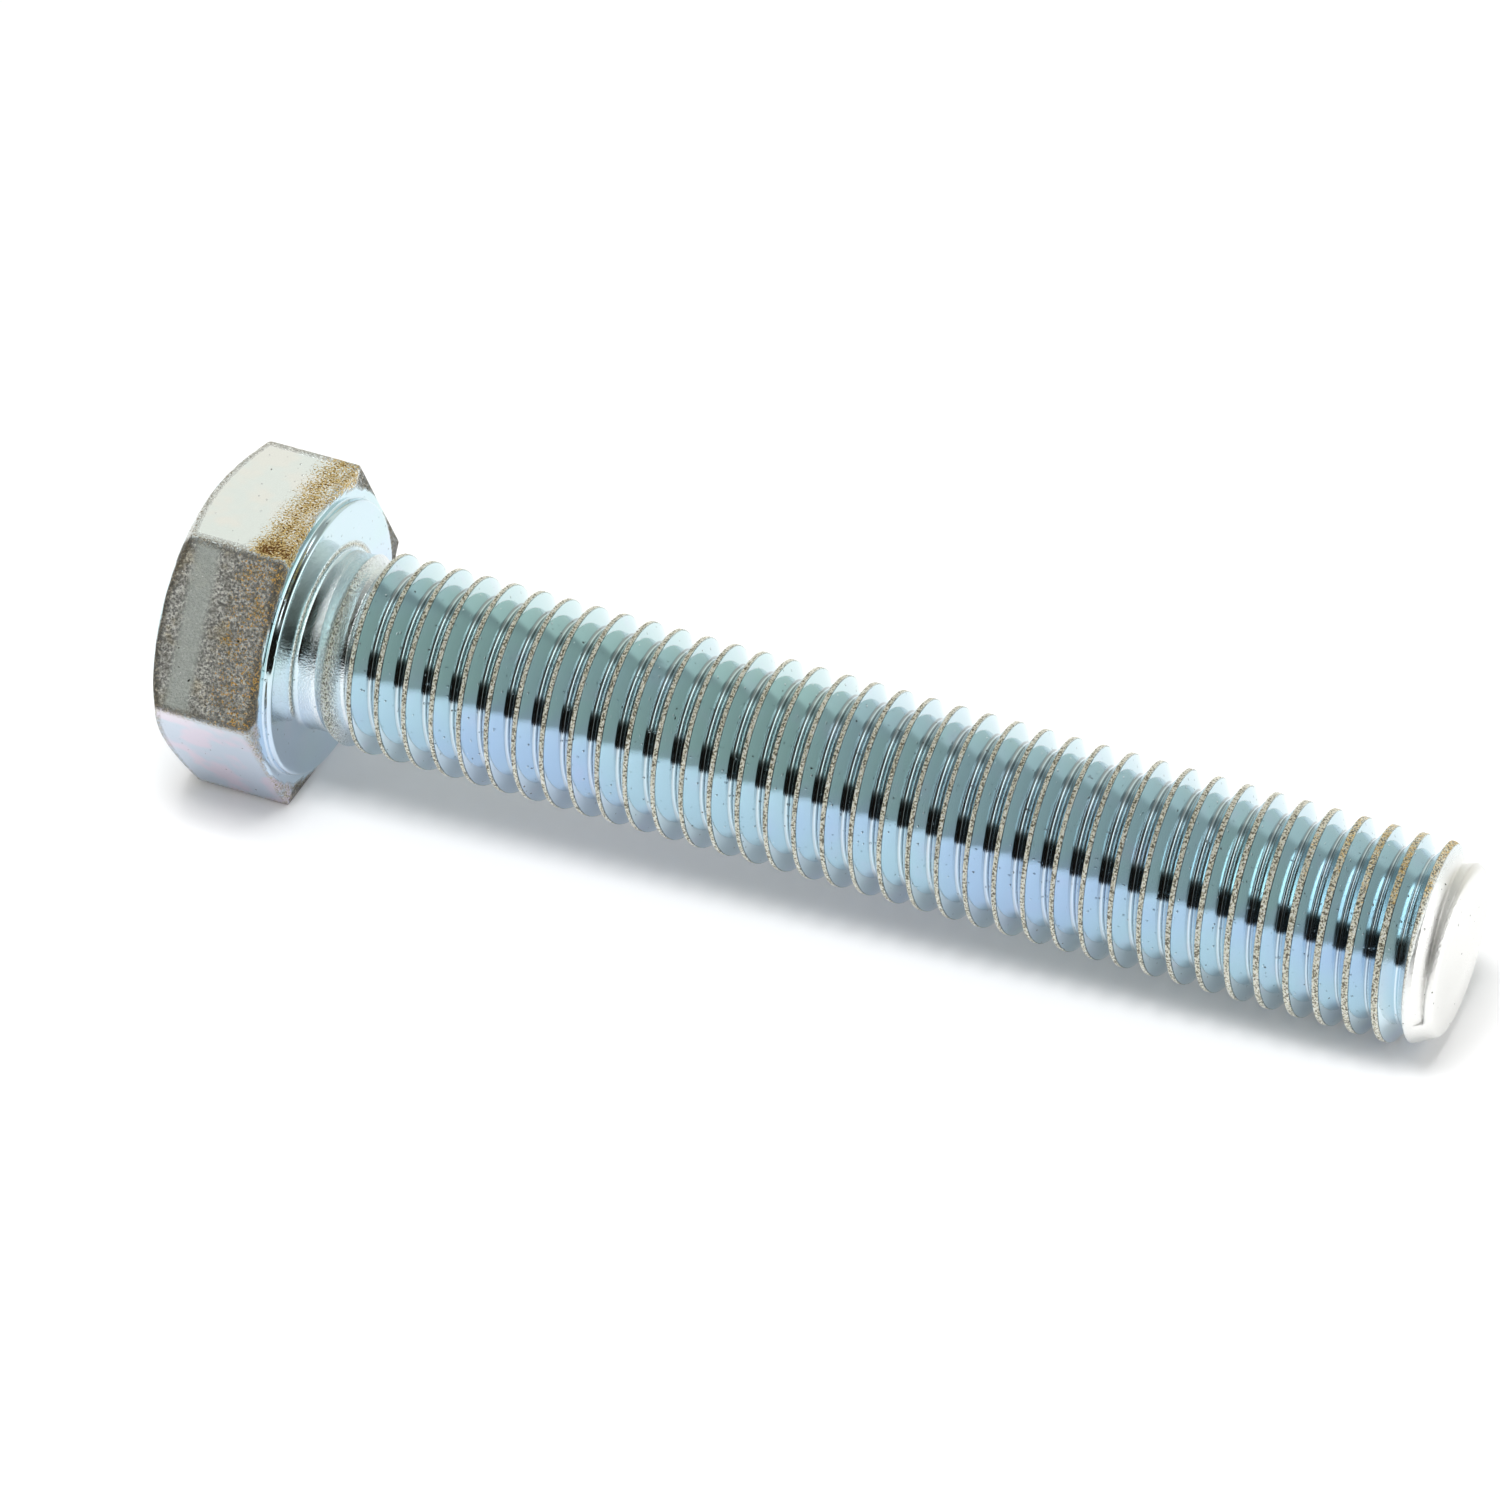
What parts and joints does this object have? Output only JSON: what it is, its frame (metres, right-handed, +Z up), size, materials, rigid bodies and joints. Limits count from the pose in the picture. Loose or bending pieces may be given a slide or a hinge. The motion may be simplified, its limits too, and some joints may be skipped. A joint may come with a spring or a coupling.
{
  "type": "hex bolt",
  "caption": "Hexagon head screw with a washer face, threaded along its whole shank to a chamfered point, in bright zinc plated steel.",
  "frame": {"origin": "centre of the head's flat top face, on the screw's axis", "axes": "+X along the axis from the head's top face to the point; +Z up, square to one flat of the hexagon, so the opposite flat faces the ground; the bearing face under the head is at x = 0.0075"},
  "size_m": [0.0775, 0.0208, 0.018],
  "materials": {
    "zinc_plated_steel": "bright blue-passivated zinc plating with pitted, grainy crests, yellow-brown stain by the edges of the head, and light mottling on the flats"
  },
  "bodies": {
    "root": {"hex_bolt": "zinc_plated_steel"}
  },
  "joints": []
}
